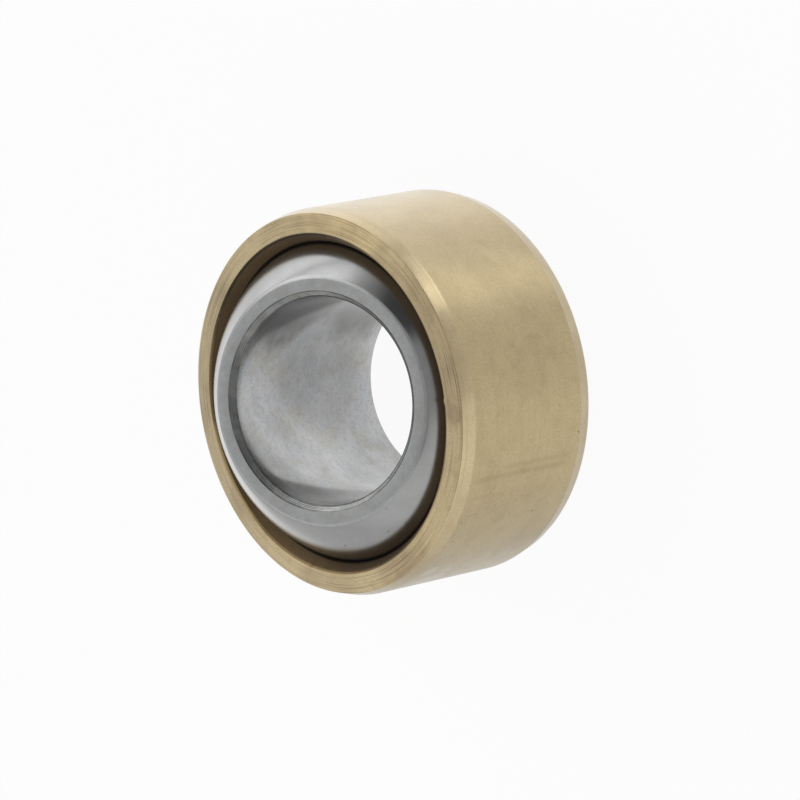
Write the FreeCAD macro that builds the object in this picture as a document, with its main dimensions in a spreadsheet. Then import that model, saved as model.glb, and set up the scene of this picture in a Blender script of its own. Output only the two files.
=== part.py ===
"""Spherical plain bearing: a turned bronze outer ring closed round a ground steel ball with a bore.

The frame is the ball's: the origin is the swivel centre and +Z runs along the bore. The bearing
stands on the ball's lower end, and the outer ring leans about +Y, as a loose one does. Sizes run
outwards, from the bore through the ball and its clearance to the outside of the ring. Lengths are
in millimetres and angles in degrees.
"""
import FreeCAD, Part
import math
import os
import Sketcher

# Alias, value and meaning of every driving dimension.
SIZES = (
    ("bore_diameter", "25", "bore through the ball"),
    ("bore_chamfer", "0.75", "chamfer at each end of the bore"),
    ("ball_width", "31", "ball over its two flat ends"),
    ("end_land", "2.3", "flat end of the ball, from the bore out to the sphere"),
    ("end_edge_break", "0.15", "broken edge between a flat end and the sphere"),
    ("running_clearance", "0.03", "gap between ball and raceway"),
    ("ring_wall", "2.039", "ring's wall over the middle of the ball"),
    ("ring_width", "22", "ring over its two mouths"),
    ("mouth_depth", "1.8", "from the raceway's end to the ring's end, along the axis"),
    ("mouth_flare", "1.16", "how much wider the mouth is at the ring's end, on each side"),
    ("mouth_edge_radius", "0.5", "rounding where the mouth meets the end face"),
    ("face_fall", "0.4", "how far an end face falls back towards its outer edge"),
    ("lead_length", "1.75", "lead-in chamfer, along the ring's axis"),
    ("lead_angle", "15", "lead-in chamfer, from the ring's axis"),
    ("ring_lean", "14", "ring's axis, from the bore"),
)

# Radii and heights that are worked out from the cells above.
BORE_RADIUS = "Sizes.bore_diameter / 2"
BALL_END = "Sizes.ball_width / 2"
LAND_RADIUS = f"{BORE_RADIUS} + Sizes.end_land"
LAND_EDGE = f"{LAND_RADIUS} - Sizes.end_edge_break"
BALL_RADIUS = f"sqrt(({LAND_RADIUS})^2 + ({BALL_END})^2)"
RACEWAY_RADIUS = f"{BALL_RADIUS} + Sizes.running_clearance"
RACEWAY_END = "Sizes.ring_width / 2 - Sizes.mouth_depth"
RACEWAY_OPENING = f"sqrt(({RACEWAY_RADIUS})^2 - ({RACEWAY_END})^2)"
MOUTH_RADIUS = f"{RACEWAY_OPENING} + Sizes.mouth_flare"
RING_END = "Sizes.ring_width / 2"
RING_RADIUS = f"{RACEWAY_RADIUS} + Sizes.ring_wall"
RIM_RADIUS = f"{RING_RADIUS} - Sizes.lead_length * tan(Sizes.lead_angle * 1 deg)"
RIM_HEIGHT = f"{RING_END} - Sizes.face_fall"

# Places on a sketch's edges, as its constraints count them.
START, END, CENTRE = 1, 2, 3
X_AXIS = -1
ORIGIN = (X_AXIS, START)


def make_sizes(doc):
    """Fill the spreadsheet with the driving dimensions."""
    sheet = doc.addObject("Spreadsheet::Sheet", "Sizes")
    for row, (alias, value, meaning) in enumerate(SIZES, start=1):
        sheet.set(f"A{row}", alias)
        sheet.set(f"B{row}", value)
        sheet.set(f"C{row}", meaning)
        sheet.setAlias(f"B{row}", alias)
    doc.recompute()


def origin_plane(body, role):
    """Find one of a body's own base planes."""
    return next(item for item in body.Origin.OriginFeatures if item.Role == role)


def point(item, radius, height):
    """Work out a point of a section from the expressions for its radius and height."""
    return FreeCAD.Vector(item.evalExpression(radius), item.evalExpression(height), 0)


def add_arc(sketch, centre, start, end):
    """Draw an arc counter-clockwise about a centre, between the directions of two points."""
    arm = start - centre
    circle = Part.Circle(centre, FreeCAD.Vector(0, 0, 1), arm.Length)
    last = end - centre
    angles = (math.atan2(arm.y, arm.x), math.atan2(last.y, last.x))
    return sketch.addGeometry(Part.ArcOfCircle(circle, *angles))


def tie(sketch, kind, *places):
    """Add a constraint that has no size."""
    sketch.addConstraint(Sketcher.Constraint(kind, *places))


def bind(sketch, kind, name, places, formula):
    """Add a sized constraint, name it and tie it to the spreadsheet."""
    value = float(sketch.evalExpression(formula))
    index = sketch.addConstraint(Sketcher.Constraint(kind, *places, value))
    sketch.renameConstraint(index, name)
    sketch.setExpression(f"Constraints.{name}", formula)


def start_section(body, name):
    """Add an empty sketch on the plane that holds the body's axis."""
    sketch = body.newObject("Sketcher::SketchObject", name)
    sketch.AttachmentSupport = [(origin_plane(body, "XZ_Plane"), "")]
    sketch.MapMode = "FlatFace"
    return sketch


def turn_and_mirror(body, sketch):
    """Turn the section of one half of a ring round the body's axis and mirror it to the other."""
    half = body.newObject("PartDesign::Revolution", f"{body.Name}_half")
    half.Profile = sketch
    half.ReferenceAxis = (sketch, ["V_Axis"])
    half.Angle = 360
    whole = body.newObject("PartDesign::Mirrored", f"{body.Name}_whole")
    whole.Originals = [half]
    whole.MirrorPlane = (origin_plane(body, "XY_Plane"), [""])
    whole.Refine = True
    body.Tip = whole


def make_ball(doc):
    """Build the inner ring: a ball with two flat ends and a chamfered bore."""
    body = doc.addObject("PartDesign::Body", "inner_ring")
    body.Label = "inner_ring"
    section = start_section(body, "ball_section")
    middle = point(section, BALL_RADIUS, "0")
    edge_low = point(section, LAND_RADIUS, f"{BALL_END} - Sizes.end_edge_break")
    edge_high = point(section, LAND_EDGE, BALL_END)
    chamfer_high = point(section, f"{BORE_RADIUS} + Sizes.bore_chamfer", BALL_END)
    chamfer_low = point(section, BORE_RADIUS, f"{BALL_END} - Sizes.bore_chamfer")
    bore_middle = point(section, BORE_RADIUS, "0")

    sphere = add_arc(section, FreeCAD.Vector(), middle, edge_low)
    edge_break = section.addGeometry(Part.LineSegment(edge_low, edge_high))
    land = section.addGeometry(Part.LineSegment(edge_high, chamfer_high))
    chamfer = section.addGeometry(Part.LineSegment(chamfer_high, chamfer_low))
    bore = section.addGeometry(Part.LineSegment(chamfer_low, bore_middle))
    cut = section.addGeometry(Part.LineSegment(bore_middle, middle))

    outline = (sphere, edge_break, land, chamfer, bore, cut)
    for first, second in zip(outline, outline[1:] + outline[:1]):
        tie(section, "Coincident", first, END, second, START)
    tie(section, "Coincident", sphere, CENTRE, *ORIGIN)
    tie(section, "PointOnObject", cut, START, X_AXIS)
    tie(section, "PointOnObject", cut, END, X_AXIS)
    tie(section, "Horizontal", land)
    tie(section, "Vertical", bore)
    bind(section, "Radius", "ball", (sphere,), BALL_RADIUS)
    bind(section, "DistanceX", "bore", (*ORIGIN, bore, END), BORE_RADIUS)
    bind(section, "DistanceY", "end", (*ORIGIN, land, END), BALL_END)
    bind(section, "DistanceX", "land", (*ORIGIN, land, START), LAND_EDGE)
    broken = (edge_break, START, edge_break, END)
    bind(section, "DistanceY", "edge_break", broken, "Sizes.end_edge_break")
    chamfered = (chamfer, END, chamfer, START)
    bind(section, "DistanceX", "chamfer_across", chamfered, "Sizes.bore_chamfer")
    bind(section, "DistanceY", "chamfer_along", chamfered, "Sizes.bore_chamfer")
    turn_and_mirror(body, section)
    return body


def make_ring(doc):
    """Build the outer ring: a cylinder with a spherical raceway that opens at two mouths."""
    body = doc.addObject("PartDesign::Body", "outer_ring")
    body.Label = "outer_ring"
    section = start_section(body, "ring_section")
    middle = point(section, RACEWAY_RADIUS, "0")
    raceway_end = point(section, RACEWAY_OPENING, RACEWAY_END)
    corner = point(section, MOUTH_RADIUS, RING_END)
    rim = point(section, RIM_RADIUS, RIM_HEIGHT)
    lead_end = point(section, RING_RADIUS, f"{RIM_HEIGHT} - Sizes.lead_length")
    outside_middle = point(section, RING_RADIUS, "0")

    # A rough first place for the rounding of the mouth's corner; the constraints seat it.
    radius = section.evalExpression("Sizes.mouth_edge_radius")
    on_wall = corner + (raceway_end - corner).normalize() * radius / 2
    on_face = corner + (rim - corner).normalize() * radius / 2
    inside = corner + FreeCAD.Vector(radius / 2, -radius, 0)

    raceway = add_arc(section, FreeCAD.Vector(), middle, raceway_end)
    wall = section.addGeometry(Part.LineSegment(raceway_end, on_wall))
    rounding = add_arc(section, inside, on_face, on_wall)
    face = section.addGeometry(Part.LineSegment(on_face, rim))
    lead = section.addGeometry(Part.LineSegment(rim, lead_end))
    outside = section.addGeometry(Part.LineSegment(lead_end, outside_middle))
    cut = section.addGeometry(Part.LineSegment(outside_middle, middle))
    mouth = section.addGeometry(Part.Point(corner), True)

    tie(section, "Coincident", raceway, END, wall, START)
    tie(section, "Tangent", wall, END, rounding, END)
    tie(section, "Tangent", rounding, START, face, START)
    for first, second in ((face, lead), (lead, outside), (outside, cut), (cut, raceway)):
        tie(section, "Coincident", first, END, second, START)
    tie(section, "Coincident", raceway, CENTRE, *ORIGIN)
    tie(section, "PointOnObject", cut, START, X_AXIS)
    tie(section, "PointOnObject", cut, END, X_AXIS)
    tie(section, "PointOnObject", mouth, START, wall)
    tie(section, "PointOnObject", mouth, START, face)
    tie(section, "Vertical", outside)
    bind(section, "Radius", "raceway", (raceway,), RACEWAY_RADIUS)
    bind(section, "DistanceY", "raceway_end", (*ORIGIN, wall, START), RACEWAY_END)
    bind(section, "DistanceX", "mouth", (*ORIGIN, mouth, START), MOUTH_RADIUS)
    bind(section, "DistanceY", "end", (*ORIGIN, mouth, START), RING_END)
    bind(section, "Radius", "mouth_edge", (rounding,), "Sizes.mouth_edge_radius")
    bind(section, "DistanceX", "rim", (*ORIGIN, lead, START), RIM_RADIUS)
    bind(section, "DistanceY", "rim_height", (*ORIGIN, lead, START), RIM_HEIGHT)
    bind(section, "DistanceX", "outside", (*ORIGIN, outside, END), RING_RADIUS)
    bind(section, "DistanceY", "lead", (lead, END, lead, START), "Sizes.lead_length")
    turn_and_mirror(body, section)

    body.Placement = FreeCAD.Placement(
        FreeCAD.Vector(), FreeCAD.Rotation(FreeCAD.Vector(0, 1, 0), 1)
    )
    body.setExpression("Placement.Rotation.Angle", "Sizes.ring_lean * 1 deg")
    return body


def check_model(doc, bodies):
    """Stop if an object of the document failed or a body isn't one sound solid."""
    for item in doc.Objects:
        if "Invalid" in item.State or "Error" in item.State:
            raise RuntimeError(f"{item.Name} failed: {item.State}")
    for body in bodies:
        shape = body.Shape
        if shape.isNull() or not shape.isValid() or len(shape.Solids) != 1:
            raise RuntimeError(f"{body.Label} isn't one valid solid")


def main():
    """Build the two rings, check them and write one STEP file each."""
    os.makedirs("parts", exist_ok=True)
    doc = FreeCAD.newDocument("spherical_plain_bearing")
    make_sizes(doc)
    bodies = (make_ball(doc), make_ring(doc))
    doc.recompute()
    check_model(doc, bodies)
    for body in bodies:
        body.Shape.exportStep(f"parts/{body.Label}.step")
        print(f"{body.Label}: {body.Shape.Volume:.1f} mm3")


main()
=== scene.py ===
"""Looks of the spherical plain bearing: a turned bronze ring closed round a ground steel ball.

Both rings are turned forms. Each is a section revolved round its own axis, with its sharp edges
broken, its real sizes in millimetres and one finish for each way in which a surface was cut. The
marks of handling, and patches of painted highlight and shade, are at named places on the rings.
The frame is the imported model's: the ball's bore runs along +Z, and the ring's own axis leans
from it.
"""

import logging
import math
from abc import ABC, abstractmethod
from collections.abc import Sequence
from dataclasses import dataclass, field, replace
from enum import Enum

import bpy
from mathutils import Matrix, Quaternion, Vector


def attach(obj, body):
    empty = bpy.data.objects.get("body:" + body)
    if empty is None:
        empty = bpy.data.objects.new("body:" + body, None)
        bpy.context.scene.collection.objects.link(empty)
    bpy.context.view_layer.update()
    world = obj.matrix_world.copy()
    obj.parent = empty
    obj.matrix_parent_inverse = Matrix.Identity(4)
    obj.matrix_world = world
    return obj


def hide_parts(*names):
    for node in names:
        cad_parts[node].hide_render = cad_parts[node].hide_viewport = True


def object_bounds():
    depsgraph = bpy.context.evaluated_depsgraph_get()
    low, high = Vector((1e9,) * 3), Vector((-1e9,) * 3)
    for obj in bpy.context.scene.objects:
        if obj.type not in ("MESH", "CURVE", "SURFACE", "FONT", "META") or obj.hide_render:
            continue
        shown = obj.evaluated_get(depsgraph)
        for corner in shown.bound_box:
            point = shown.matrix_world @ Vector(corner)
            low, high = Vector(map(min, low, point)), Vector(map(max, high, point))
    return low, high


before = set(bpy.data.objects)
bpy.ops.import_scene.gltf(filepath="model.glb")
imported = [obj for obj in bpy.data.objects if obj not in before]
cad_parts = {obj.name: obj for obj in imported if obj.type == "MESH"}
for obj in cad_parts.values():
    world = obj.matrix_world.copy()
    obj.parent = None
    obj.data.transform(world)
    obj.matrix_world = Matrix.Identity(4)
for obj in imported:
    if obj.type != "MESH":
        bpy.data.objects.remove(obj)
CAD_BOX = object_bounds()

log = logging.getLogger("spherical_plain_bearing")

MM = 0.001

# The name of the map of a piece's unrolled surface.
BAKE_MAP = "OFBake"

# Inputs and output of a Mix node that mixes colours, and of one that mixes numbers.
FACTOR, COLOUR_A, COLOUR_B, COLOUR_OUT = 0, 6, 7, 2
NUMBER_A, NUMBER_B, NUMBER_OUT = 2, 3, 0

# How much of a rounded corner is finished as the stretch before it.
BEFORE_CORNER = 0.6

# A long cylinder begins with a short stretch, which ends at this share of its height. The smooth
# shading of the rounded edge beside it ends there too.
SHORT_STRETCH = 0.8

# Height times this, less radius, changes steadily along every surface of both sections.
HEIGHT_WEIGHT = 1.37

# Tool marks run round the axis: a quarter turn from the way in which a highlight is drawn out.
QUARTER_TURN = 0.25

# A stain or spot is full inside this share of its reach, and fades out towards its edge.
CORE = 0.4

# Where the rim of a stain is, and how far it spreads to each side, as shares of the reach.
RIM_PLACE, RIM_SPREAD = 0.75, 0.25

# The seeds of a finish's clouds and spots are so far from the seed of its tool marks.
CLOUD_SEED, SPOT_SEED = 2, 6

# Radii of the surfaces that carry marks, in millimetres.
RING_OUTSIDE, BALL_BORE = 23.5, 12.5

Colour = tuple[float, float, float, float]
Socket = bpy.types.NodeSocket
Tree = bpy.types.NodeTree
Input = float | Sequence[float] | Socket
Inputs = dict[str | int, Input]


def linear(code: str) -> Colour:
    """Turn an sRGB hex colour into the linear colour that a shader takes.

    Args:
        code: Six hex digits, such as "b09a75".

    Returns:
        Red, green, blue and an alpha of 1.
    """
    shares = (int(code[i : i + 2], 16) / 255 for i in (0, 2, 4))
    red, green, blue = (s / 12.92 if s <= 0.04045 else ((s + 0.055) / 1.055) ** 2.4 for s in shares)
    return red, green, blue, 1.0


def between(first: float, second: float, share: float) -> float:
    """Give the number that is a share of the way from one number to another."""
    return first + (second - first) * share


def polar(angle: float, radius: float, height: float) -> tuple[float, float, float]:
    """Give the point at an angle round Z, a distance from it and a height."""
    return radius * math.cos(angle), radius * math.sin(angle), height


def put_in_scene(name: str, data: bpy.types.ID) -> bpy.types.Object:
    """Make an object and put it in the scene.

    Args:
        name: Its name.
        data: Its mesh or camera.

    Returns:
        The object.
    """
    thing = bpy.data.objects.new(name, data)
    bpy.context.scene.collection.objects.link(thing)
    return thing


def empty_tree(owner: bpy.types.Material | bpy.types.World) -> Tree:
    """Give a material or world an empty node tree.

    Args:
        owner: The material or world.

    Returns:
        The tree.
    """
    owner.use_nodes = True
    owner.node_tree.nodes.clear()
    return owner.node_tree


def add_node(
    tree: Tree, kind: str, inputs: Inputs | None = None, **settings: str
) -> bpy.types.NodeOutputs:
    """Add one node with its settings and links.

    Args:
        tree: The node tree that it goes into.
        kind: The node's type.
        inputs: For each input, by name or number, the output that feeds it or its own value.
        settings: The node's own properties.

    Returns:
        Its outputs.
    """
    node = tree.nodes.new(kind)
    for name, value in settings.items():
        setattr(node, name, value)
    for key, value in (inputs or {}).items():
        if isinstance(value, Socket):
            tree.links.new(value, node.inputs[key])
        else:
            node.inputs[key].default_value = value
    return node.outputs


class Zone(Enum):
    """The ways in which the surfaces of the two rings were cut."""

    OUTSIDE = "fine-turned outside of the ring"
    FACE = "faced ends of the ring"
    LEAD = "lead-in chamfers of the ring"
    MOUTH = "mouths of the ring"
    LIP = "rounded edges of those mouths"
    RACEWAY = "raceway of the ring"
    SPHERE = "ground sphere of the ball"
    END = "ground ends of the ball"
    EDGE = "broken edges of those ends"
    CHAMFER = "turned chamfers of the bore"
    CREST = "crests of the ridges in those chamfers"
    BORE = "bored and honed inside of the ball"


@dataclass(frozen=True)
class Station:
    """One point of a section, in millimetres, and the zone of the surface that follows it."""

    radius: float
    height: float
    zone: Zone


@dataclass
class Section:
    """The upper half of a turned section, drawn from the middle of one side to that of the other.

    A marked corner is kept by its number, with the rounding's radius, steps and first zone.
    """

    stations: list[Station] = field(default_factory=list)
    corners: dict[int, tuple[float, int, Zone]] = field(default_factory=dict)

    def line(self, radius: float, height: float, zone: Zone, steps: int = 1) -> None:
        """Run straight to a point.

        Args:
            radius: Distance of the point from the axis.
            height: Height of the point above the middle.
            zone: The zone of this stretch.
            steps: Into how many pieces it is divided.
        """
        last = self.stations[-1]
        self.stations[-1] = Station(last.radius, last.height, zone)
        for step in range(1, steps + 1):
            share = step / steps
            place = between(last.radius, radius, share), between(last.height, height, share)
            self.stations.append(Station(*place, zone))

    def sphere(self, ball_radius: float, height: float, zone: Zone, steps: int) -> None:
        """Follow a sphere about the origin up to a height.

        Args:
            ball_radius: The sphere's radius.
            height: Where the sphere ends, above the middle.
            zone: The zone of this stretch.
            steps: Into how many pieces it is divided.
        """
        rise = math.asin(height / ball_radius)
        for step in range(steps + 1):
            angle = rise * step / steps
            place = ball_radius * math.cos(angle), ball_radius * math.sin(angle)
            self.stations.append(Station(*place, zone))

    def rounded(
        self,
        radius: float,
        height: float,
        zone: Zone,
        edge: float,
        steps: int,
        lip: Zone | None = None,
    ) -> None:
        """Mark the next corner: run to it and leave it to be rounded by broken().

        Args:
            radius: Distance of the corner from the axis.
            height: Height of the corner above the middle.
            zone: The zone of the stretch that leads to it.
            edge: Radius of the rounding.
            steps: Into how many pieces the rounding is divided.
            lip: The zone of the rounding's first part, where it isn't that of the stretch.
        """
        self.line(radius, height, zone)
        self.corners[len(self.stations) - 1] = (edge, steps, lip or zone)

    def broken(self) -> list[Station]:
        """Round each marked corner by its own radius.

        Returns:
            The stations of the upper half, with an arc in place of each marked corner.
        """
        result: list[Station] = []
        for index, station in enumerate(self.stations):
            if index not in self.corners:
                result.append(station)
                continue
            edge, steps, lip = self.corners[index]
            before, after = self.stations[index - 1], self.stations[index + 1]
            corner = Vector((station.radius, station.height))
            back = (Vector((before.radius, before.height)) - corner).normalized()
            ahead = (Vector((after.radius, after.height)) - corner).normalized()
            half = back.angle(ahead) / 2
            reach = edge / math.tan(half)
            centre = corner + (back + ahead).normalized() * edge / math.sin(half)
            arm = corner + back * reach - centre
            turn = math.copysign(math.pi - 2 * half, arm.x * ahead.y - arm.y * ahead.x)
            for step in range(steps + 1):
                spoke = arm.copy()
                spoke.rotate(Matrix.Rotation(turn * step / steps, 2))
                place = centre + spoke
                zone = lip if step < steps * BEFORE_CORNER else station.zone
                result.append(Station(place.x, place.y, zone))
        return result

    def whole(self) -> list[Station]:
        """Mirror the upper half to the lower one.

        Returns:
            The stations of the closed section, each point once.
        """
        upper = self.broken()
        upper[-1] = replace(upper[-1], zone=upper[-2].zone)
        lower = [
            Station(upper[i].radius, -upper[i].height, upper[i - 1].zone)
            for i in range(len(upper) - 2, 0, -1)
        ]
        return upper + lower


@dataclass(frozen=True)
class Spot:
    """A round place on a turned piece: an angle about its axis, a point of its section, a reach."""

    angle_deg: float
    radius: float
    height: float
    reach: float

    def place(self) -> Vector:
        """Give the place in the piece's own frame, in millimetres."""
        return Vector(polar(math.radians(self.angle_deg), self.radius, self.height))


@dataclass(frozen=True)
class Dent(Spot):
    """A place where the surface is knocked in, by so many millimetres."""

    depth: float


@dataclass(frozen=True)
class StainAndPaintedLight(Spot):
    """A dried stain or film, or a patch of painted shade or highlight, with its share inside
    and along its rim.

    Being ragged is how far its outline wanders, as a share of its reach.
    """

    share: float
    rim: float = 0.0
    ragged: float = 1.0


@dataclass(frozen=True)
class Smear:
    """A soft darker line rubbed along the axis of a turned piece, in millimetres."""

    angle_deg: float
    radius: float
    width: float
    low: float
    high: float
    share: float
    fade: float = 3.0


@dataclass(frozen=True)
class Layer:
    """A colour laid on where a pattern is strong: none at start, and its share where it is full.

    A pattern of clouds, grain or rings lies mostly between 0.3 and 0.7, so its layer starts near
    0.45 and is full near 0.7. Spots and stains run from 0 to 1.
    """

    colour: str
    pattern: Socket
    start: float = 0.0
    full: float = 1.0
    share: float = 1.0


class Surface:
    """A material under way: its node tree, with the coordinates that a turned surface needs."""

    def __init__(self, name: str, lean_deg: float) -> None:
        """Make the material and its coordinates, in millimetres in the piece's own frame.

        Args:
            name: The finish's name.
            lean_deg: How far the piece's own axis leans from the frame's, about Y.
        """
        self.material = bpy.data.materials.new(name)
        self.tree = empty_tree(self.material)
        self.lean = math.radians(lean_deg)
        place = self.add("ShaderNodeTexCoord")["Object"]
        place = self.add("ShaderNodeVectorMath", {0: place, "Scale": 1 / MM}, operation="SCALE")[0]
        self.place = self.add(
            "ShaderNodeVectorRotate", {"Vector": place, "Angle": -self.lean}, rotation_type="Y_AXIS"
        )[0]
        flat = self.add(
            "ShaderNodeVectorMath", {0: self.place, 1: (1.0, 1.0, 0.0)}, operation="MULTIPLY"
        )[0]
        self.spoke = self.add("ShaderNodeVectorMath", {0: flat}, operation="NORMALIZE")[0]
        self.radius = self.add("ShaderNodeVectorMath", {0: flat}, operation="LENGTH")["Value"]
        self.level = self.add("ShaderNodeSeparateXYZ", {0: self.place})["Z"]
        self.height = self.add("ShaderNodeMath", {0: self.level}, operation="ABSOLUTE")[0]

    def add(
        self, kind: str, inputs: Inputs | None = None, **settings: str
    ) -> bpy.types.NodeOutputs:
        """Add a node to this material, as add_node() does."""
        return add_node(self.tree, kind, inputs, **settings)

    def tool_marks(self, pitch: float, sweep: float, seed: float) -> Socket:
        """Draw the marks that a tool leaves as the piece turns under it.

        They run round the axis: they change from one place of the section to the next, and only
        slowly round the piece.

        Args:
            pitch: Distance from one mark to the next, in millimetres.
            sweep: How many times a mark changes in a turn.
            seed: Moves the pattern, so that no two finishes have the same one.

        Returns:
            The marks, from 0 to 1.
        """
        lanes = self.height
        for operation, number in (
            ("MULTIPLY", HEIGHT_WEIGHT), ("SUBTRACT", self.radius), ("MULTIPLY", 1 / pitch)
        ):
            lanes = self.add("ShaderNodeMath", {0: lanes, 1: number}, operation=operation)[0]
        lane = self.add("ShaderNodeCombineXYZ", {"Z": lanes})[0]
        where = self.add(
            "ShaderNodeVectorMath",
            {0: self.spoke, 1: (sweep / math.tau,) * 3, 2: lane},
            operation="MULTIPLY_ADD",
        )[0]
        return self.add(
            "ShaderNodeTexNoise",
            {"Vector": where, "W": seed, "Scale": 1.0, "Detail": 2.0, "Roughness": 0.6},
            noise_dimensions="4D",
        )["Fac"]

    def clouds(self, sizes: Sequence[tuple[float, float]], seed: float) -> list[Socket]:
        """Draw even clouds or grain, one pattern for each size.

        Args:
            sizes: Each pattern's size in millimetres, and how many finer ones are laid over it.
            seed: Moves the patterns.

        Returns:
            The patterns, from 0 to 1.
        """
        return [
            self.add(
                "ShaderNodeTexNoise",
                {"Vector": self.place, "W": seed + index, "Scale": 1 / size, "Detail": detail},
                noise_dimensions="4D",
            )["Fac"]
            for index, (size, detail) in enumerate(sizes)
        ]

    def spots(self, spacing: float, size: float, share: float, seed: float) -> Socket:
        """Draw scattered small round spots.

        Args:
            spacing: Mean distance between the cells that may hold a spot, in millimetres.
            size: A spot's radius, in millimetres.
            share: The share of cells that hold one.
            seed: Moves the pattern.

        Returns:
            1 in a spot and 0 outside.
        """
        cells = self.add(
            "ShaderNodeTexVoronoi",
            {"Vector": self.place, "W": seed, "Scale": 1 / spacing, "Randomness": 1.0},
            voronoi_dimensions="4D",
        )
        inside = self.add(
            "ShaderNodeMapRange",
            {
                "Value": cells["Distance"],
                "From Min": size / spacing,
                "From Max": CORE * size / spacing,
            },
            interpolation_type="SMOOTHSTEP",
        )["Result"]
        tint = self.add("ShaderNodeSeparateColor", {0: cells["Color"]})[0]
        chosen = self.add("ShaderNodeMath", {0: tint, 1: share}, operation="LESS_THAN")[0]
        return self.add("ShaderNodeMath", {0: inside, 1: chosen}, operation="MULTIPLY")[0]

    def stain_and_painted_light_share(self, stains_and_painted_light: Sequence[StainAndPaintedLight], wander: Socket) -> Socket:
        """Draw the stains, films and patches of painted shade or highlight, each with an outline
        that wanders with a pattern.

        Args:
            stains_and_painted_light: The stains, films and patches of painted shade or highlight.
            wander: The pattern, from 0 to 1.

        Returns:
            The share of each stain, film or patch of painted shade or highlight.
        """
        total: Input = 0.0
        for blot in stains_and_painted_light:
            away = self.add(
                "ShaderNodeVectorMath", {0: self.place, 1: blot.place()}, operation="DISTANCE"
            )["Value"]
            away = self.add(
                "ShaderNodeMath",
                {0: wander, 1: 2 * blot.ragged * blot.reach, 2: away},
                operation="MULTIPLY_ADD",
            )[0]
            edge, core, rim = (
                (part + blot.ragged) * blot.reach for part in (1.0, CORE, RIM_PLACE)
            )
            parts = [(away, edge, core, blot.share)]
            if blot.rim:
                off_rim = self.add("ShaderNodeMath", {0: away, 1: rim}, operation="SUBTRACT")[0]
                off_rim = self.add("ShaderNodeMath", {0: off_rim}, operation="ABSOLUTE")[0]
                parts.append((off_rim, RIM_SPREAD * blot.reach, 0.0, blot.rim))
            for value, none, full, share in parts:
                part = self.add(
                    "ShaderNodeMapRange",
                    {"Value": value, "From Min": none, "From Max": full, "To Max": share},
                    interpolation_type="SMOOTHSTEP",
                )["Result"]
                total = self.add("ShaderNodeMath", {0: part, 1: total}, operation="MAXIMUM")[0]
        return total

    def rubbed(self, smears: Sequence[Smear]) -> Socket:
        """Draw smears that run along the axis.

        Args:
            smears: The smears.

        Returns:
            The share of each smear at its middle line, falling to 0 at its sides and ends.
        """
        total: Input = 0.0
        for smear in smears:
            line = polar(math.radians(smear.angle_deg), 1.0, 0.0)
            away = self.add(
                "ShaderNodeVectorMath", {0: self.spoke, 1: line}, operation="DISTANCE"
            )["Value"]
            share: Input = smear.share
            for value, none, full in (
                (away, smear.width / smear.radius, 0.0),
                (self.level, smear.low, smear.low + smear.fade),
                (self.level, smear.high, smear.high - smear.fade),
            ):
                share = self.add(
                    "ShaderNodeMapRange",
                    {"Value": value, "From Min": none, "From Max": full, "To Max": share},
                    interpolation_type="SMOOTHSTEP",
                )["Result"]
            total = self.add("ShaderNodeMath", {0: share, 1: total}, operation="MAXIMUM")[0]
        return total

    def scratches(self, length: float, spacing: float, tilt_deg: float) -> Socket:
        """Draw fine straight scratches that cross the piece at a slant.

        Args:
            length: Their length, in millimetres.
            spacing: Their spacing, in millimetres.
            tilt_deg: How far they are turned from the Y axis, about X.

        Returns:
            The scratches, from 0 to 1.
        """
        turned = self.add(
            "ShaderNodeVectorRotate",
            {"Vector": self.place, "Angle": math.radians(tilt_deg)},
            rotation_type="X_AXIS",
        )[0]
        where = self.add(
            "ShaderNodeVectorMath",
            {0: turned, 1: (1 / length, 1 / length, 1 / spacing)},
            operation="MULTIPLY",
        )[0]
        return self.add("ShaderNodeTexNoise", {"Vector": where, "Scale": 1.0, "Detail": 1.0})["Fac"]

    def painted(self, base: str, layers: Sequence[Layer]) -> Socket:
        """Lay the layers over a colour, one after another.

        Args:
            base: The colour below, in hex.
            layers: The layers, the lowest first.

        Returns:
            The colour.
        """
        colour: Input = linear(base)
        for layer in layers:
            share = self.add(
                "ShaderNodeMapRange",
                {
                    "Value": layer.pattern,
                    "From Min": layer.start,
                    "From Max": layer.full,
                    "To Max": layer.share,
                },
                interpolation_type="SMOOTHSTEP",
            )["Result"]
            colour = self.add(
                "ShaderNodeMix",
                {FACTOR: share, COLOUR_A: colour, COLOUR_B: linear(layer.colour)},
                data_type="RGBA",
            )[COLOUR_OUT]
        return colour

    def carved(self, first: tuple[Socket, float], second: tuple[Socket, float]) -> Socket:
        """Turn two patterns into relief, one over the other.

        Args:
            first: A pattern and its depth in millimetres.
            second: The pattern laid over it and its depth.

        Returns:
            The normal.
        """
        under = self.add(
            "ShaderNodeBump", {"Height": first[0], "Distance": first[1] * MM}
        )["Normal"]
        return self.add(
            "ShaderNodeBump", {"Height": second[0], "Distance": second[1] * MM, "Normal": under}
        )["Normal"]

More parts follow.
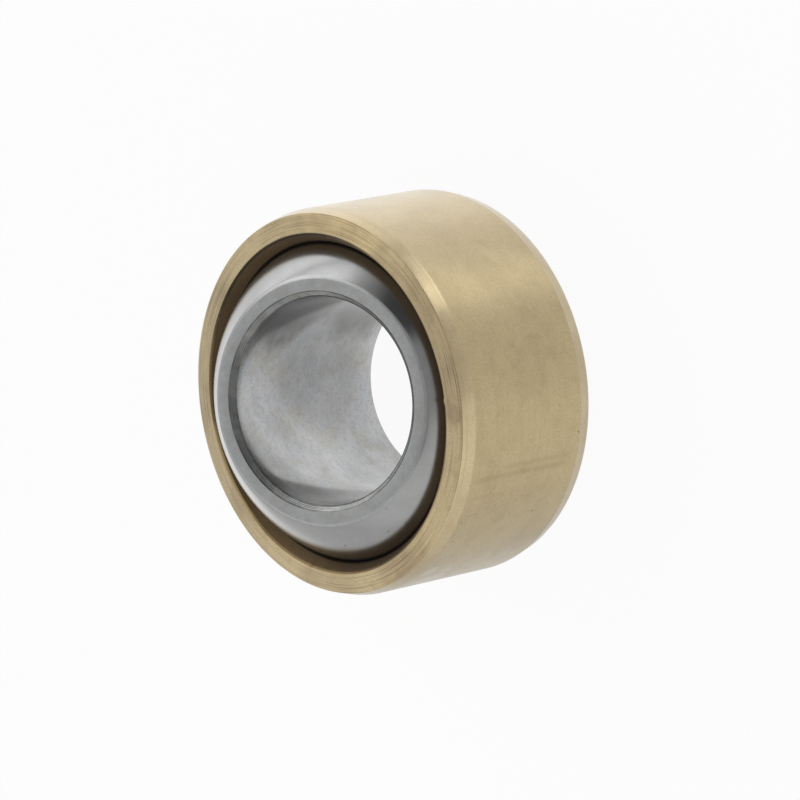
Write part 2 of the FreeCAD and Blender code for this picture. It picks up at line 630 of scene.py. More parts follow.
    def metal(
        self, pattern: Socket, roughness: float, vary: float, inputs: Inputs
    ) -> bpy.types.Material:
        """Finish the material as a metal whose tool marks run round the axis.

        Args:
            pattern: The pattern that changes its roughness.
            roughness: Its roughness at the pattern's middle.
            vary: How far the pattern changes it, up and down.
            inputs: The metal shader's colour, relief and films.

        Returns:
            The material.
        """
        uneven = self.add(
            "ShaderNodeMapRange",
            {"Value": pattern, "To Min": roughness - vary, "To Max": roughness + vary},
        )["Result"]
        round_axis = self.add(
            "ShaderNodeVectorMath", {0: (0.0, 0.0, 1.0), 1: self.spoke}, operation="CROSS_PRODUCT"
        )[0]
        round_axis = self.add(
            "ShaderNodeVectorRotate",
            {"Vector": round_axis, "Angle": self.lean},
            rotation_type="Y_AXIS",
        )[0]
        tangent = self.add(
            "ShaderNodeVectorTransform",
            {"Vector": round_axis},
            vector_type="VECTOR",
            convert_from="OBJECT",
            convert_to="WORLD",
        )[0]
        inputs = {
            "Metallic": 1.0,
            "Roughness": uneven,
            "Anisotropic Rotation": QUARTER_TURN,
            "Tangent": tangent,
            **inputs,
        }
        shader = self.add("ShaderNodeBsdfPrincipled", inputs)[0]
        self.add("ShaderNodeOutputMaterial", {"Surface": shader})
        return self.material


class Finish(ABC):
    """A way of finishing a metal surface."""

    @abstractmethod
    def material(self, lean_deg: float) -> bpy.types.Material:
        """Make the material for a piece whose own axis leans so far from the frame's."""


@dataclass(frozen=True)
class TurnedBronze(Finish):
    """Turned bearing bronze: satin yellow-brown, with fine rings and a thin uneven tarnish.

    The tool leaves rings round the axis, which stretch highlights along it. Their real pitch is
    about 0.05 mm, too fine to show, so they are drawn at two to four times that. The oil and dust
    of storage whiten it where it is seen at a slant. Sizes are in millimetres.
    """

    name: str
    # The clean metal, what dulls it, and what has dried on it. In the mouth and raceway these
    # colours are darkened as painted shade; on the mouth's edge the film is a painted highlight
    # and the dirt is painted shade.
    bronze: str = "c7b384"
    tarnish_and_shade: str = "9c8656"
    dirt_and_shade: str = "5a3c1e"
    film_and_highlight: str = "e6dccf"
    # The roughness and how far the grain changes it, and how far the rings stretch a highlight.
    roughness: float = 0.42
    vary: float = 0.05
    brushed: float = 0.85
    # The rings: pitch, depth, changes in a turn, shares of tarnish and dirt, fading in places.
    pitch: float = 0.18
    groove: float = 0.003
    sweep: float = 5.0
    rings: float = 0.14
    grime: float = 0.0
    fading: float = 0.0
    # The tarnish's clouds and patches and the metal's grain, each with its finer patterns.
    cloud: float = 0.32
    cloud_sizes: tuple[tuple[float, float], ...] = ((7.0, 2.0), (1.6, 4.0), (0.15, 2.0))
    grain_depth: float = 0.002
    # Casting pits: the share of places that have one, their spacing and their size.
    pits: float = 0.09
    pit_spacing: float = 0.8
    pit_size: float = 0.13
    # The film of oil, and the dust on it.
    oil: float = 1.0
    oil_roughness: float = 0.3
    oil_ior: float = 1.6
    dust: float = 0.2
    dust_roughness: float = 0.4
    dust_tint: str = "dbe8ff"
    # Pale films, dark stains and smears at their own places. Some films are painted highlights
    # and reflections, and some stains are painted shade.
    films_and_painted_light: tuple[StainAndPaintedLight, ...] = ()
    stains_and_painted_light: tuple[StainAndPaintedLight, ...] = ()
    smears: tuple[Smear, ...] = ()
    seed: float = 1.0

    def material(self, lean_deg: float) -> bpy.types.Material:
        """Make the material.

        Args:
            lean_deg: How far the piece's own axis leans from the frame's.

        Returns:
            The material.
        """
        surface = Surface(self.name, lean_deg)
        rings = surface.tool_marks(self.pitch, self.sweep, self.seed)
        broad, patchy, grain = surface.clouds(self.cloud_sizes, self.seed + CLOUD_SEED)
        pits = surface.spots(self.pit_spacing, self.pit_size, self.pits, self.seed + SPOT_SEED)
        streaks = surface.add(
            "ShaderNodeMath", {0: broad, 1: self.fading, 2: rings}, operation="MULTIPLY_ADD"
        )[0]
        # The fading adds its mean to the rings, so the streaks start and are full so much later.
        shift = self.fading / 2
        layers = [
            Layer(self.tarnish_and_shade, broad, 0.42, 0.72, self.cloud),
            Layer(self.tarnish_and_shade, patchy, 0.45, 0.8, self.cloud),
            Layer(self.tarnish_and_shade, streaks, 0.45 + shift, 0.7 + shift, self.rings),
            Layer(self.dirt_and_shade, streaks, 0.56 + shift, 0.74 + shift, self.grime),
            Layer(self.tarnish_and_shade, grain, 0.4, 0.7, 0.4),
            Layer(self.dirt_and_shade, pits, share=0.6),
        ]
        if self.films_and_painted_light:
            layers.append(Layer(self.film_and_highlight, surface.stain_and_painted_light_share(self.films_and_painted_light, patchy)))
        if self.smears:
            layers.append(Layer(self.tarnish_and_shade, surface.rubbed(self.smears)))
        if self.stains_and_painted_light:
            layers.append(Layer(self.dirt_and_shade, surface.stain_and_painted_light_share(self.stains_and_painted_light, patchy)))
        return surface.metal(
            grain,
            self.roughness,
            self.vary,
            {
                "Base Color": surface.painted(self.bronze, layers),
                "Anisotropic": self.brushed,
                "Normal": surface.carved((rings, self.groove), (grain, self.grain_depth)),
                "Coat Weight": self.oil,
                "Coat Roughness": self.oil_roughness,
                "Coat IOR": self.oil_ior,
                "Sheen Weight": self.dust,
                "Sheen Roughness": self.dust_roughness,
                "Sheen Tint": linear(self.dust_tint),
            },
        )


@dataclass(frozen=True)
class GroundSteel(Finish):
    """Hardened bearing steel, ground: cool grey, with fine rings and faint cool and warm tints.

    The wheel leaves a finish too fine to show ring by ring, so its rings are drawn about ten
    times as coarse, and faintly. Oil dried on it gives the tints. Sizes are in millimetres.
    """

    name: str
    # The clean metal, its cool and warm tints, dirt, and metal that a scratch has laid bare. On
    # the sphere and in the bore the dirt's colour also makes painted shade.
    steel: str = "a5a6a5"
    cool: str = "93989d"
    warm: str = "979285"
    dirt_and_shade: str = "5a5248"
    scratch: str = "cdd0d4"
    # The roughness and how far the clouds change it, and how far the rings stretch a highlight.
    roughness: float = 0.25
    vary: float = 0.05
    brushed: float = 0.5
    # The rings: pitch, depth, changes in a turn, share of dirt.
    pitch: float = 0.12
    groove: float = 0.0005
    sweep: float = 12.0
    rings: float = 0.05
    # The size of the clouds of tint, how many finer ones lie over them, and the share of tint.
    cloud: float = 1.6
    cloud_detail: float = 3.0
    tint: float = 0.3
    # The patches and the grain, the share of dirt in them, and the grain's depth, as a share of
    # the rings' depth.
    grain_sizes: tuple[tuple[float, float], ...] = ((0.6, 3.0), (0.15, 2.0))
    grain: float = 0.12
    grain_depth: float = 0.1
    # Specks: the share of places that have one, their spacing and their size.
    specks: float = 0.03
    speck_spacing: float = 1.6
    speck_size: float = 0.14
    # Scratches: their share, length and spacing, and the two ways in which they slant.
    scratched: float = 0.0
    scratch_length: float = 4.0
    scratch_spacing: float = 0.12
    scratch_tilts_deg: tuple[float, ...] = (-28.0, 24.0)
    # Dark films at their own places. The broad ones on the sphere and in the bore are
    # painted shade.
    stains_and_painted_light: tuple[StainAndPaintedLight, ...] = ()
    seed: float = 11.0

    def material(self, lean_deg: float) -> bpy.types.Material:
        """Make the material.

        Args:
            lean_deg: How far the piece's own axis leans from the frame's.

        Returns:
            The material.
        """
        surface = Surface(self.name, lean_deg)
        rings = surface.tool_marks(self.pitch, self.sweep, self.seed)
        tinted = (self.cloud, self.cloud_detail)
        cool, warm, patchy, grain = surface.clouds(
            (tinted, tinted, *self.grain_sizes), self.seed + CLOUD_SEED
        )
        specks = surface.spots(
            self.speck_spacing, self.speck_size, self.specks, self.seed + SPOT_SEED
        )
        layers = [
            Layer(self.cool, cool, 0.42, 0.62, self.tint),
            Layer(self.warm, warm, 0.45, 0.65, self.tint),
            Layer(self.dirt_and_shade, rings, 0.4, 0.8, self.rings),
            Layer(self.dirt_and_shade, patchy, 0.4, 0.75, self.grain),
            Layer(self.dirt_and_shade, grain, 0.4, 0.7, self.grain),
            Layer(self.dirt_and_shade, specks, share=0.6),
        ]
        if self.scratched:
            for tilt in self.scratch_tilts_deg:
                lines = surface.scratches(self.scratch_length, self.scratch_spacing, tilt)
                layers.append(Layer(self.scratch, lines, 0.55, 0.75, self.scratched))
        if self.stains_and_painted_light:
            layers.append(Layer(self.dirt_and_shade, surface.stain_and_painted_light_share(self.stains_and_painted_light, cool)))
        return surface.metal(
            cool,
            self.roughness,
            self.vary,
            {
                "Base Color": surface.painted(self.steel, layers),
                "Anisotropic": self.brushed,
                "Normal": surface.carved(
                    (rings, self.groove), (grain, self.groove * self.grain_depth)
                ),
            },
        )


class TurnedPiece(ABC):
    """A piece turned from one blank: a section revolved round the piece's own axis."""

    name: str
    node: str
    body: str
    slot: str
    segments: int
    lean_deg: float

    @abstractmethod
    def section(self) -> Section:
        """Draw the upper half of the section."""

    @abstractmethod
    def finishes(self) -> dict[Zone, Finish]:
        """Give each zone its finish."""

    def dents(self) -> Sequence[Dent]:
        """List the dents and nicks in the piece."""
        return ()

    def build(self) -> bpy.types.Object:
        """Build the piece, dress it and put it in place of its CAD node.

        Returns:
            The piece.
        """
        stations = self.section().whole()
        zones = list(dict.fromkeys(station.zone for station in stations))
        count, turns = len(stations), self.segments
        points = [
            polar(math.tau * turn / turns, station.radius * MM, station.height * MM)
            for turn in range(turns)
            for station in stations
        ]
        faces = [
            (
                turn * count + row,
                (turn + 1) % turns * count + row,
                (turn + 1) % turns * count + (row + 1) % count,
                turn * count + (row + 1) % count,
            )
            for turn in range(turns)
            for row in range(count)
        ]
        mesh = bpy.data.meshes.new(self.name)
        mesh.from_pydata(points, [], faces)
        one_turn = [zones.index(station.zone) for station in stations]
        mesh.polygons.foreach_set("material_index", one_turn * turns)
        mesh.polygons.foreach_set("use_smooth", [True] * len(faces))
        self.unroll(mesh, stations)
        self.dent(mesh)
        mesh.transform(Matrix.Rotation(math.radians(self.lean_deg), 4, "Y"))
        piece = put_in_scene(self.name, mesh)
        finishes = self.finishes()
        for zone in zones:
            mesh.materials.append(finishes[zone].material(self.lean_deg))
        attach(piece, self.body)
        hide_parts(self.node)
        return piece

    def unroll(self, mesh: bpy.types.Mesh, stations: Sequence[Station]) -> None:
        """Map the surface unrolled: once round is one side, the way round the section the other.

        Args:
            mesh: The piece's mesh.
            stations: Its section.
        """
        count, turns = len(stations), self.segments
        way = [0.0]
        for here, after in zip(stations, [*stations[1:], stations[0]]):
            way.append(way[-1] + math.hypot(after.radius - here.radius, after.height - here.height))
        corners: list[float] = []
        for turn in range(turns):
            for row in range(count):
                left, right = turn / turns, (turn + 1) / turns
                low, high = way[row] / way[-1], way[row + 1] / way[-1]
                corners += (left, low, right, low, right, high, left, high)
        mesh.uv_layers.new(name=BAKE_MAP).data.foreach_set("uv", corners)

    def dent(self, mesh: bpy.types.Mesh) -> None:
        """Push the surface in at each dent.

        Args:
            mesh: The piece's mesh.
        """
        for dent in self.dents():
            centre = dent.place() * MM
            for vertex in mesh.vertices:
                away = (vertex.co - centre).length / (dent.reach * MM)
                if away < 1:
                    vertex.co -= vertex.normal * dent.depth * MM * (1 - away * away) ** 2


@dataclass
class OuterRing(TurnedPiece):
    """The bronze ring: a cylinder with a spherical raceway that opens at two mouths.

    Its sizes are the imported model's, in millimetres, apart from the rounding of the two edges of
    its lead-in chamfers.
    """

    name: str = "outer_ring_bronze"
    node: str = "outer_ring"
    body: str = "outer_ring"
    slot: str = "ring_bronze"
    segments: int = 540
    ball_radius: float = math.hypot(14.8, 15.5)
    clearance: float = 0.03
    wall: float = 2.039
    width: float = 22.0
    mouth_depth: float = 1.8
    mouth_flare: float = 1.16
    mouth_edge: float = 0.5
    face_fall: float = 0.4
    lead_length: float = 1.75
    lead_angle_deg: float = 15.0
    rim_break: float = 0.12
    lead_break: float = 0.6
    lean_deg: float = 14.0

    def section(self) -> Section:
        """Draw the upper half of the section.

        Returns:
            The section, from the middle of the raceway to that of the outside.
        """
        raceway = self.ball_radius + self.clearance
        outside = raceway + self.wall
        end = self.width / 2
        raceway_end = end - self.mouth_depth
        throat = math.sqrt(raceway**2 - raceway_end**2)
        mouth = throat + self.mouth_flare
        rim_height = end - self.face_fall
        lead_height = rim_height - self.lead_length
        rim = outside - self.lead_length * math.tan(math.radians(self.lead_angle_deg))
        section = Section()
        section.sphere(raceway, raceway_end, Zone.RACEWAY, steps=16)
        # The first sixth of the mouth's wall is as dark as the raceway that it leaves: painted
        # shade of the gap beside the ball.
        for share, zone, steps in ((1 / 6, Zone.RACEWAY, 2), (1 / 2, Zone.MOUTH, 4)):
            place = between(throat, mouth, share), between(raceway_end, end, share)
            section.line(*place, zone, steps)
        section.rounded(mouth, end, Zone.MOUTH, self.mouth_edge, steps=8, lip=Zone.LIP)
        for share, steps in ((1 / 3, 1), (2 / 3, 3)):
            place = between(mouth, rim, share), between(end, rim_height, share)
            section.line(*place, Zone.FACE, steps)
        section.rounded(rim, rim_height, Zone.FACE, self.rim_break, steps=4)
        section.line((rim + outside) / 2, (rim_height + lead_height) / 2, Zone.LEAD)
        section.rounded(outside, lead_height, Zone.LEAD, self.lead_break, steps=3)
        section.line(outside, lead_height * SHORT_STRETCH, Zone.OUTSIDE)
        section.line(outside, 0.0, Zone.OUTSIDE, steps=4)
        return section

    def finishes(self) -> dict[Zone, Finish]:
        """Give each zone its finish.

        Returns:
            The finishes.
        """
        # Specks of dried dirt on the outside: angle, height, reach and share.
        specks = (
            (151.0, -8.5, 0.2, 0.65), (151.7, -0.5, 0.2, 0.37), (148.6, -2.2, 0.2, 0.37),
            (132.0, 3.5, 0.2, 0.49), (126.4, -4.0, 0.2, 0.65), (137.2, 5.0, 0.2, 0.43),
            (127.7, 8.2, 0.2, 0.54), (131.6, 1.9, 0.2, 0.32), (126.5, 9.5, 0.2, 0.37),
            (160.1, -5.1, 0.2, 0.32), (123.1, 8.4, 0.2, 0.4), (120.4, 8.0, 0.22, 0.5),
            (115.0, 8.8, 0.2, 0.4), (109.3, 4.3, 0.22, 0.45), (116.8, -8.5, 0.2, 0.4),
        )
        return {
            # Fine turning gives satin that stretches its highlights along the axis. Pale films on
            # its lower side are partly dried oil and partly a painted reflection. Oil has also
            # dried in brown-rimmed marks, and fingers have rubbed lines into it.
            Zone.OUTSIDE: TurnedBronze(
                "turned bronze, outside",
                films_and_painted_light=(
                    StainAndPaintedLight(103.5, RING_OUTSIDE, 6.8, 1.7, 0.38),
                    StainAndPaintedLight(103.8, RING_OUTSIDE, 4.2, 1.4, 0.3),
                    StainAndPaintedLight(95.0, RING_OUTSIDE, 4.6, 3.2, 0.34),
                    StainAndPaintedLight(106.0, RING_OUTSIDE, -1.5, 1.6, 0.22),
                    StainAndPaintedLight(105.5, RING_OUTSIDE, -4.9, 1.8, 0.24),
                ),
                stains_and_painted_light=(
                    StainAndPaintedLight(223.6, RING_OUTSIDE, 1.0, 2.0, 0.16, ragged=0.6),
                    StainAndPaintedLight(214.0, RING_OUTSIDE, 2.5, 6.0, 0.1, ragged=0.4),
                    StainAndPaintedLight(128.5, RING_OUTSIDE, 9.0, 0.7, 0.3),
                    StainAndPaintedLight(120.0, RING_OUTSIDE, 5.0, 8.0, 0.06, 0.1),
                    StainAndPaintedLight(101.0, RING_OUTSIDE, 3.6, 1.8, 0.1, 0.34),
                    StainAndPaintedLight(98.0, RING_OUTSIDE, 1.0, 1.6, 0.1, 0.34),
                    StainAndPaintedLight(104.0, RING_OUTSIDE, 0.5, 2.4, 0.08, 0.22),
                    StainAndPaintedLight(107.0, RING_OUTSIDE, -4.0, 2.0, 0.08, 0.2),
                    StainAndPaintedLight(110.0, RING_OUTSIDE, 6.5, 1.5, 0.1, 0.25),
                    *(
                        StainAndPaintedLight(angle, RING_OUTSIDE, height, reach, share, ragged=0.2)
                        for angle, height, reach, share in specks
                    ),
                ),
                smears=(
                    Smear(142.0, RING_OUTSIDE, 0.9, -9.0, 10.0, 0.42),
                    Smear(144.5, RING_OUTSIDE, 0.7, -9.0, 5.0, 0.36),
                    Smear(136.0, RING_OUTSIDE, 0.6, 1.0, 9.5, 0.3),
                    Smear(130.0, RING_OUTSIDE, 0.5, 4.0, 9.0, 0.36),
                ),
            ),
            # A coarser feed leaves rings that show one by one, darker where tarnish fills them.
            Zone.FACE: TurnedBronze(
                "faced bronze, ends",
                bronze="bfaa7c", tarnish_and_shade="816d44",
                pitch=0.17, groove=0.006, sweep=12.0, rings=0.75, grime=0.45, fading=0.25,
                cloud=0.4, pits=0.3,
                stains_and_painted_light=(
                    StainAndPaintedLight(163.0, 21.6, 10.9, 1.8, 0.4, 0.25),
                    StainAndPaintedLight(172.0, 21.3, 10.9, 6.0, 0.14),
                    StainAndPaintedLight(195.0, 21.3, 10.9, 7.0, 0.16),
                    StainAndPaintedLight(200.0, 21.2, 10.9, 3.0, 0.12, 0.15),
                    StainAndPaintedLight(98.0, 21.8, 10.8, 2.5, 0.1, 0.2),
                ),
                seed=2.0,
            ),
            # Cut last with a clean tool: a little brighter and glossier than the outside.
            Zone.LEAD: TurnedBronze(
                "turned bronze, lead-in chamfers",
                bronze="cbb88e", tarnish_and_shade="9e885e", roughness=0.32,
                pitch=0.2, groove=0.004, rings=0.3, grime=0.1, seed=5.0,
            ),
            # Never wiped: brown with old grease, darkened further as painted shade of the recess,
            # and no dust to whiten it.
            Zone.MOUTH: TurnedBronze(
                "turned bronze, mouth",
                bronze="756247", tarnish_and_shade="5b4a36", dirt_and_shade="2c2620", oil=0.1, dust=0.0,
                stains_and_painted_light=(
                    StainAndPaintedLight(295.0, 20.2, 10.8, 9.0, 0.25, ragged=0.3),
                    StainAndPaintedLight(92.0, 20.0, 10.0, 14.0, 0.3, ragged=0.3),
                ),
                seed=3.0,
            ),
            # The edge where the pale end turns into the brown mouth: a pale film on one side is a
            # painted highlight where it catches the light, and darker patches on two others are
            # painted shade where the mouth's shade begins.
            Zone.LIP: TurnedBronze(
                "turned bronze, mouth edges",
                bronze="87724f", tarnish_and_shade="6b5840", dirt_and_shade="2c2620", film_and_highlight="c8b282",
                oil=0.2, dust=0.0,
                films_and_painted_light=(StainAndPaintedLight(12.0, 20.3, 10.9, 9.5, 0.6, ragged=0.25),),
                stains_and_painted_light=(
                    StainAndPaintedLight(278.0, 20.3, 10.9, 21.0, 0.8, ragged=0.25),
                    StainAndPaintedLight(190.0, 20.3, 10.9, 13.0, 0.5, ragged=0.25),
                ),
                seed=6.0,
            ),
            # Bored and greased, and coloured near-black as painted shade: the gap beside the ball
            # looks nearly black.
            Zone.RACEWAY: TurnedBronze(
                "bored bronze, raceway",
                bronze="3a3128", tarnish_and_shade="2c2620", oil=0.1, dust=0.0, seed=4.0,
            ),
        }

    def dents(self) -> Sequence[Dent]:
        """List the nick and the small burrs of the mouth's edge.

        Returns:
            The dents.
        """
        return (
            Dent(167.0, 20.75, 10.95, 0.55, 0.16),
            Dent(165.7, 20.95, 10.94, 0.35, 0.08),
            Dent(27.8, 20.2, 10.45, 0.4, 0.12),
            Dent(111.2, 20.7, 10.93, 0.4, 0.1),
            Dent(59.8, 20.53, 10.88, 0.5, 0.1),
        )


@dataclass
class InnerRing(TurnedPiece):
    """The steel ball: a sphere cut off by two flat ends, with a chamfered bore.

    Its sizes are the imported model's, in millimetres, apart from the rounding of its edges and the
    ridges that the tool left in its chamfers.
    """

    name: str = "inner_ring_steel"
    node: str = "inner_ring"
    body: str = "inner_ring"
    slot: str = "ball_steel"
    segments: int = 480
    lean_deg: float = 0.0
    bore: float = 25.0
    bore_chamfer: float = 0.75
    width: float = 31.0
    end_land: float = 2.3
    edge_break: float = 0.15
    edge_round: float = 0.1
    bore_break: float = 0.04
    # The ridges: the first starts at a share of the chamfer, and a crest lies at a share of the
    # pitch.
    ridges: int = 3
    ridge_start: float = 0.28
    ridge_pitch: float = 0.15
    ridge_height: float = 0.015
    crest: float = 0.14

    def section(self) -> Section:
        """Draw the upper half of the section.

        Returns:
            The section, from the middle of the sphere to that of the bore.
        """
        bore = self.bore / 2
        end = self.width / 2
        land = bore + self.end_land
        inner = bore + self.bore_chamfer
        section = Section()
        section.sphere(math.hypot(land, end), end - self.edge_break, Zone.SPHERE, steps=48)
        section.rounded(land - self.edge_break, end, Zone.EDGE, self.edge_round, steps=2)
        section.line((land + inner) / 2, end, Zone.END)
        section.rounded(inner, end, Zone.END, self.bore_break, steps=3)
        into_chamfer = self.bore_chamfer * self.ridge_start
        section.line(inner - into_chamfer, end - into_chamfer, Zone.CHAMFER)
        for ridge in range(1, self.ridges * 2):
            crest = ridge % 2
            step = into_chamfer + (ridge // 2 + crest * self.crest) * self.ridge_pitch
            rise = self.ridge_height * crest
            flank = Zone.CREST if crest else Zone.CHAMFER
            section.line(inner - step - rise, end - step + rise, flank)
        chamfer_end = end - self.bore_chamfer
        section.rounded(bore, chamfer_end, Zone.CHAMFER, self.bore_break, steps=3)
        section.line(bore, end * SHORT_STRETCH, Zone.BORE)
        section.line(bore, 0.0, Zone.BORE, steps=8)
        return section

    def finishes(self) -> dict[Zone, Finish]:
        """Give each zone its finish.

        Returns:
            The finishes.
        """
        return {
            # Ground and lapped: smooth enough to mirror the mouth round it as a crisp dark band.
            Zone.SPHERE: GroundSteel(
                "ground steel, sphere",
                steel="969696", cool="858a8f", warm="898478",
                roughness=0.19, vary=0.015, cloud=2.2, tint=0.14, grain=0.04,
                stains_and_painted_light=(
                    StainAndPaintedLight(108.1, 15.22, 15.09, 0.22, 0.8),
                    StainAndPaintedLight(98.8, 17.19, 12.8, 0.2, 0.7),
                    StainAndPaintedLight(76.5, 17.49, 12.39, 0.2, 0.7),
                    # The two broad dark films are painted shade: one beside the mouth, one near the
                    # end.
                    StainAndPaintedLight(322.0, 18.4, 11.0, 3.6, 0.62, ragged=0.25),
                    StainAndPaintedLight(28.0, 16.1, 14.2, 7.0, 0.26, ragged=0.25),
                ),
            ),
            # Ground flat: duller than the sphere, with hardly a stretched highlight.
            Zone.END: GroundSteel(
                "ground steel, ends",
                steel="999b9b", cool="8c9296", warm="8f8a80",
                roughness=0.38, brushed=0.3, seed=12.0,
            ),
            # Broken with a stone: a thin pale line between the sphere and the end.
            Zone.EDGE: GroundSteel(
                "ground steel, broken edges",
                steel="a6a8a8", cool="989da1", warm="9c988f", roughness=0.34, seed=16.0,
            ),
            # Left as turned: dark, with oil in its fine rings.
            Zone.CHAMFER: GroundSteel(
                "turned steel, chamfers",
                steel="676867", dirt_and_shade="262626", roughness=0.36,
                pitch=0.07, groove=0.01, rings=0.25,
                stains_and_painted_light=(StainAndPaintedLight(190.0, 12.8, 15.2, 16.0, 0.5, ragged=0.2),),
                seed=13.0,
            ),
            # Worn bright: fine pale circles in the dark chamfer.
            Zone.CREST: GroundSteel(
                "turned steel, worn crests",
                steel="d4d4d2", dirt_and_shade="262626", roughness=0.4,
                stains_and_painted_light=(
                    StainAndPaintedLight(190.0, 12.8, 15.2, 16.0, 0.55, ragged=0.2),
                    StainAndPaintedLight(357.0, 12.8, 15.2, 12.0, 0.58, ragged=0.08),
                ),
                seed=15.0,
            ),
            # Honed: glossy, with fine slanting scratches, and oil that dried in cool and warm
            # clouds. Its broad darker films are painted shade.
            Zone.BORE: GroundSteel(
                "honed steel, bore",
                steel="bfc0bf", cool="a3acb7", warm="afa797", dirt_and_shade="545352",
                roughness=0.15, brushed=0.2, cloud=3.2, tint=0.42, grain=0.2, scratched=0.12,
                stains_and_painted_light=(
                    StainAndPaintedLight(-95.0, BALL_BORE, 9.0, 16.5, 0.9, ragged=0.25),
                    StainAndPaintedLight(-95.0, BALL_BORE, -8.0, 18.0, 0.75, ragged=0.25),
                    StainAndPaintedLight(-35.0, BALL_BORE, -3.0, 16.0, 0.47, ragged=0.25),
                    StainAndPaintedLight(38.0, BALL_BORE, 14.0, 11.0, 0.5, ragged=0.25),
                    StainAndPaintedLight(20.0, BALL_BORE, 6.0, 9.0, 0.34, ragged=0.25),
                ),
                seed=14.0,
            ),
        }


@dataclass(frozen=True)
class Panel:
    """A soft-edged part of the studio that is brighter or darker than the rest, by its angles."""

    azimuth_deg: float
    elevation_deg: float
    reach_deg: float
    core_deg: float
    change: float


@dataclass(frozen=True)
class Pool:
    """A soft-edged pool of light on the floor, in millimetres from the swivel centre."""

    azimuth_deg: float
    distance: float
    reach: float
    core: float
    change: float


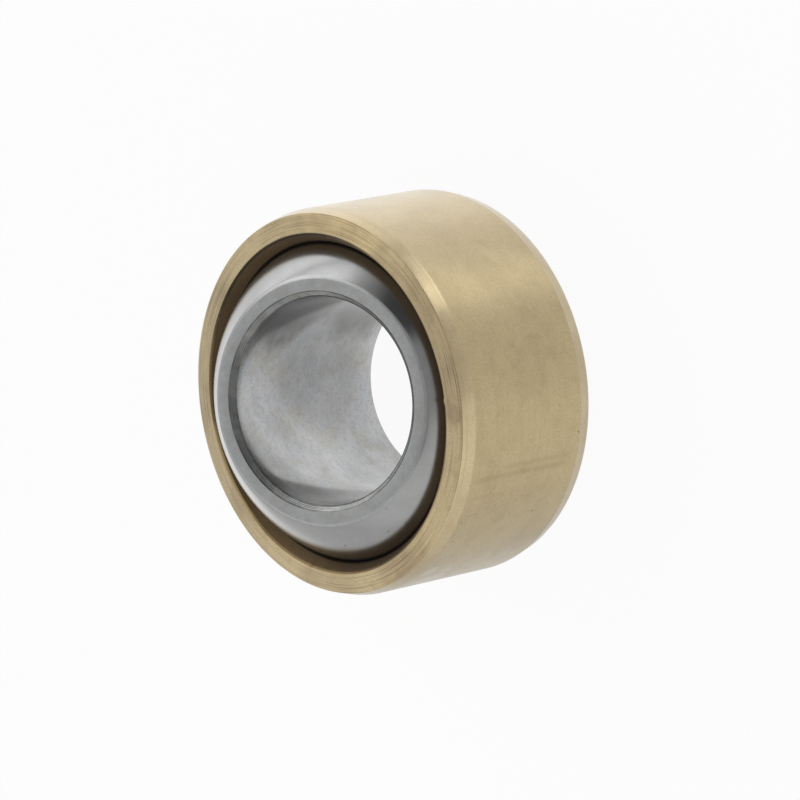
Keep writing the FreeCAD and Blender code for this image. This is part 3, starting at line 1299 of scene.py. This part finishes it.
@dataclass
class Studio:
    """A plain pale floor in a plain pale room, with a few soft panels."""

    floor_size: float = 3.0
    paper: float = 0.94
    paper_colour: str = "ebebeb"
    room: float = 0.56
    # What the metals mirror: pale walls all round, with two small bright places and a dark one.
    panels: tuple[Panel, ...] = (
        Panel(350.0, 30.0, 35.0, 12.0, 0.45),
        Panel(30.0, 5.0, 35.0, 12.0, 0.35),
        Panel(30.0, 45.0, 35.0, 12.0, 0.32),
        Panel(295.0, 5.0, 35.0, 10.0, 1.51),
        Panel(265.0, 22.0, 24.0, 6.0, 0.42),
        Panel(300.0, 45.0, 35.0, 12.0, 0.62),
        Panel(216.0, 2.0, 10.0, 4.0, 2.33),
        Panel(226.0, 1.0, 8.0, 3.0, 2.0),
        Panel(235.0, 25.0, 32.0, 15.0, -0.45),
        Panel(140.0, 5.0, 30.0, 8.0, 0.75),
        Panel(90.0, 10.0, 45.0, 15.0, 0.58),
    )
    # Light that the floor throws up at the bearing, and the shade at one side of it.
    pools: tuple[Pool, ...] = (
        Pool(270.0, 75.0, 90.0, 10.0, 0.41),
        Pool(300.0, 200.0, 160.0, 40.0, 1.1),
        Pool(285.0, 9.0, 12.0, 3.0, 0.3),
        Pool(340.0, 88.0, 36.0, 8.0, 0.7),
        Pool(2.0, 64.0, 28.0, 8.0, 0.4),
        Pool(25.0, 57.0, 25.0, 6.0, 0.26),
        Pool(85.0, 60.0, 70.0, 10.0, -0.27),
        Pool(212.0, 55.0, 18.0, 4.0, 0.6),
        Pool(222.0, 150.0, 60.0, 15.0, 2.6),
        Pool(224.0, 280.0, 120.0, 30.0, 0.9),
    )

    def build(self) -> None:
        """Lay the floor and light the room."""
        self.lay_floor()
        self.light_room()

    @staticmethod
    def lit(
        tree: Tree,
        bright: Input,
        away: Socket,
        edge: float,
        core: float,
        change: float,
    ) -> Socket:
        """Add a soft-edged light to a brightness.

        Args:
            tree: The node tree that it goes into.
            bright: The brightness so far.
            away: A measure of how far a point is from the light's middle.
            edge: That measure where the light ends.
            core: That measure where it is full.
            change: How much brighter it is there.

        Returns:
            The brightness with the light.
        """
        extra = add_node(
            tree,
            "ShaderNodeMapRange",
            {"Value": away, "From Min": edge, "From Max": core, "To Max": change},
            interpolation_type="SMOOTHSTEP",
        )["Result"]
        return add_node(tree, "ShaderNodeMath", {0: bright, 1: extra}, operation="ADD")[0]

    def lay_floor(self) -> None:
        """Lay the floor under the bearing's lowest point.

        It is matt white paper, which looks plain white with the bearing's soft shadow on it. The
        camera sees it white, and the bearing's metal mirrors it as bright as its pools of light.
        """
        half = self.floor_size / 2
        level = CAD_BOX[0].z
        mesh = bpy.data.meshes.new("floor")
        corners = [(-half, -half), (half, -half), (half, half), (-half, half)]
        mesh.from_pydata([(x, y, level) for x, y in corners], [], [(0, 1, 2, 3)])
        floor = put_in_scene("floor", mesh)
        material = bpy.data.materials.new("white paper")
        tree = empty_tree(material)
        ray = add_node(tree, "ShaderNodeLightPath")
        place = add_node(tree, "ShaderNodeNewGeometry")["Position"]
        bright: Input = self.paper
        for pool in self.pools:
            centre = polar(math.radians(pool.azimuth_deg), pool.distance * MM, level)
            away = add_node(
                tree, "ShaderNodeVectorMath", {0: place, 1: centre}, operation="DISTANCE"
            )["Value"]
            bright = self.lit(tree, bright, away, pool.reach * MM, pool.core * MM, pool.change)
        seen: Input = ray["Is Camera Ray"]
        for kind in ("Is Glossy Ray", "Is Transmission Ray"):
            seen = add_node(tree, "ShaderNodeMath", {0: seen, 1: ray[kind]}, operation="MAXIMUM")[0]
        share = add_node(tree, "ShaderNodeMath", {0: seen, 1: self.paper}, operation="MULTIPLY")[0]
        bright = add_node(
            tree, "ShaderNodeMix", {FACTOR: ray["Is Camera Ray"], NUMBER_A: bright, NUMBER_B: 1.0}
        )[NUMBER_OUT]
        paper = add_node(tree, "ShaderNodeBsdfDiffuse", {"Color": linear(self.paper_colour)})
        glow = add_node(tree, "ShaderNodeEmission", {"Color": linear("ffffff"), "Strength": bright})
        mixed = add_node(tree, "ShaderNodeMixShader", {0: share, 1: paper[0], 2: glow[0]})
        add_node(tree, "ShaderNodeOutputMaterial", {"Surface": mixed[0]})
        mesh.materials.append(material)

    def light_room(self) -> None:
        """Light the room, which the camera sees as white."""
        world = bpy.data.worlds.new("studio")
        bpy.context.scene.world = world
        tree = empty_tree(world)
        ray = add_node(tree, "ShaderNodeLightPath")
        way = add_node(tree, "ShaderNodeTexCoord")["Generated"]
        bright: Input = self.room
        for panel in self.panels:
            azimuth, elevation = math.radians(panel.azimuth_deg), math.radians(panel.elevation_deg)
            centre = polar(azimuth, math.cos(elevation), math.sin(elevation))
            near = add_node(
                tree, "ShaderNodeVectorMath", {0: way, 1: centre}, operation="DOT_PRODUCT"
            )["Value"]
            edge, core = (math.cos(math.radians(a)) for a in (panel.reach_deg, panel.core_deg))
            bright = self.lit(tree, bright, near, edge, core, panel.change)
        bright = add_node(tree, "ShaderNodeMath", {0: bright, 1: 0.0}, operation="MAXIMUM")[0]
        seen = add_node(
            tree, "ShaderNodeMix", {FACTOR: ray["Is Camera Ray"], NUMBER_A: bright, NUMBER_B: 1.0}
        )[NUMBER_OUT]
        sky = add_node(tree, "ShaderNodeBackground", {"Color": linear("ffffff"), "Strength": seen})
        add_node(tree, "ShaderNodeOutputWorld", {"Surface": sky[0]})


@dataclass
class Camera:
    """The camera, at the photograph's angle: it looks into the bearing's mouth from above."""

    lens: float = 266.2
    aim_mm: tuple[float, float, float] = (-0.59, 1.33, -0.50)
    distance_mm: float = 715.75
    azimuth_deg: float = 261.83
    elevation_deg: float = 56.85
    roll_deg: float = -98.65
    clip_m: tuple[float, float] = (0.01, 10.0)

    def build(self) -> bpy.types.Object:
        """Set the camera up.

        Returns:
            The camera.
        """
        data = bpy.data.cameras.new("camera")
        data.lens = self.lens
        data.clip_start, data.clip_end = self.clip_m
        camera = put_in_scene("camera", data)
        azimuth, elevation = math.radians(self.azimuth_deg), math.radians(self.elevation_deg)
        back = Vector(
            (
                math.sin(azimuth) * math.cos(elevation),
                -math.cos(azimuth) * math.cos(elevation),
                math.sin(elevation),
            )
        )
        camera.location = (Vector(self.aim_mm) + back * self.distance_mm) * MM
        camera.rotation_mode = "QUATERNION"
        roll = Quaternion((0, 0, 1), math.radians(self.roll_deg))
        camera.rotation_quaternion = (-back).to_track_quat("-Z", "Y") @ roll
        bpy.context.scene.camera = camera
        return camera


def main() -> None:
    """Build the camera, the studio and the two rings."""
    logging.basicConfig(level=logging.INFO, format="%(message)s")
    bpy.context.scene.view_settings.view_transform = "Standard"
    Camera().build()
    Studio().build()
    for piece in (InnerRing(), OuterRing()):
        built = piece.build()
        log.info("%s: %d faces", built.name, len(built.data.polygons))


if __name__ == "__main__":
    main()
